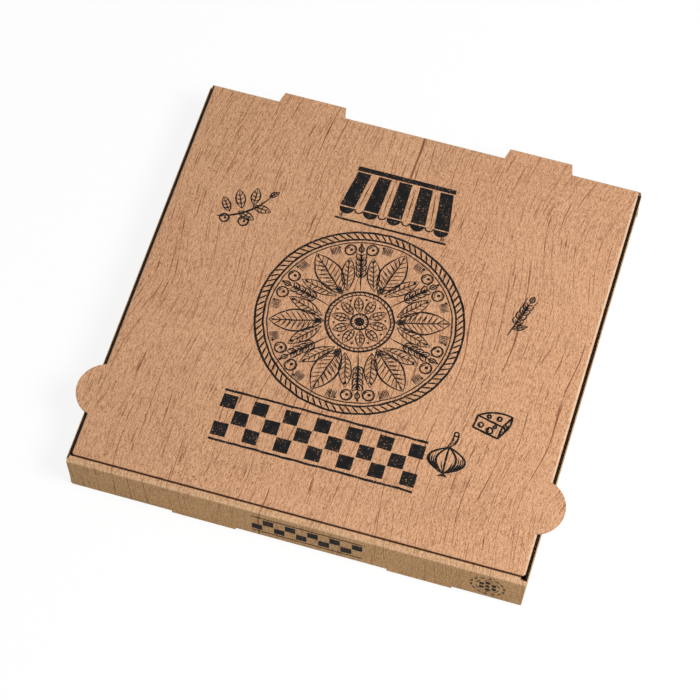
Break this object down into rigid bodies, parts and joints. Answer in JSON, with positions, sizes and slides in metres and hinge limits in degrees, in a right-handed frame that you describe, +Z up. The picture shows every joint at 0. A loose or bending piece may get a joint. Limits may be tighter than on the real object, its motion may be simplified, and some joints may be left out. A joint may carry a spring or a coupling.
{
  "type": "pizza box",
  "caption": "Flat square pizza box folded from one sheet of brown corrugated board: tray with a rolled-over front, and a hinged tuck-in lid with round ears and rear tabs.",
  "frame": {"origin": "middle of the base panel, on its underside", "axes": "+X to the right and +Y to the hinged rear edge as the front wall is faced, +Z up"},
  "size_m": [0.3534, 0.3387, 0.034],
  "materials": {
    "kraft_board": "unprinted brown kraft liner, matt, with fine fibres",
    "printed_kraft": "brown kraft liner with a printed wood grain, matt",
    "ink": "near-black print on the liner, worn and speckled"
  },
  "bodies": {
    "tray": {"tray": "kraft_board"},
    "lid": {"lid": "printed_kraft"}
  },
  "joints": [
    {"name": "lid_hinge", "type": "hinge", "parent": "tray", "child": "lid", "pos_m": [0, 0.165, 0.034], "axis": [-1, 0, 0], "range_deg": [0, 180]}
  ]
}
